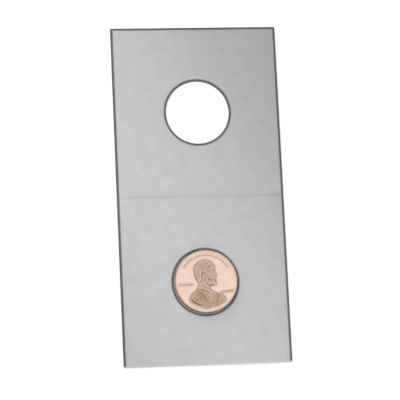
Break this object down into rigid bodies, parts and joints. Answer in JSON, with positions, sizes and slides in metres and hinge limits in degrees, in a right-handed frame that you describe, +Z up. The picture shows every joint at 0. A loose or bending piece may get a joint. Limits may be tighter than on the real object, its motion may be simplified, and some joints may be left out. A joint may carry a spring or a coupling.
{
  "type": "coin holder flip",
  "caption": "Open cardboard coin flip: two panels joined by a pressed crease, each with a round film-covered window, and a struck copper coin lying over a window.",
  "frame": {"origin": "middle of the open card, on the outer face that lies on the table", "axes": "+X along the fold, +Y from the coin's panel to the cover panel, +Z up, out of the film side"},
  "size_m": [0.0508, 0.1032, 0.0021],
  "materials": {
    "card": "light grey coated board, satin under the film, with darker die-cut edges",
    "glue": "thin clear laminating adhesive",
    "film": "clear polyester film, smooth",
    "copper": "struck copper, bright field with browner relief"
  },
  "bodies": {
    "lower_panel": {"lower_board": "card", "lower_glue": "glue", "lower_film": "film", "crease_board": "card", "crease_glue": "glue", "crease_film": "film"},
    "upper_panel": {"upper_board": "card", "upper_glue": "glue", "upper_film": "film"},
    "coin": {"coin": "copper"}
  },
  "joints": [
    {"name": "fold", "type": "hinge", "parent": "lower_panel", "child": "upper_panel", "pos_m": [0, -0.0008, 0.00058], "axis": [1, 0, 0], "range_deg": [0, 174], "deforming": ["crease_board", "crease_glue", "crease_film"]},
    {"name": "coin_slide", "type": "slide", "parent": "lower_panel", "child": "coin", "axis": [0, -1, 0], "range_m": [0, 0.024]}
  ]
}
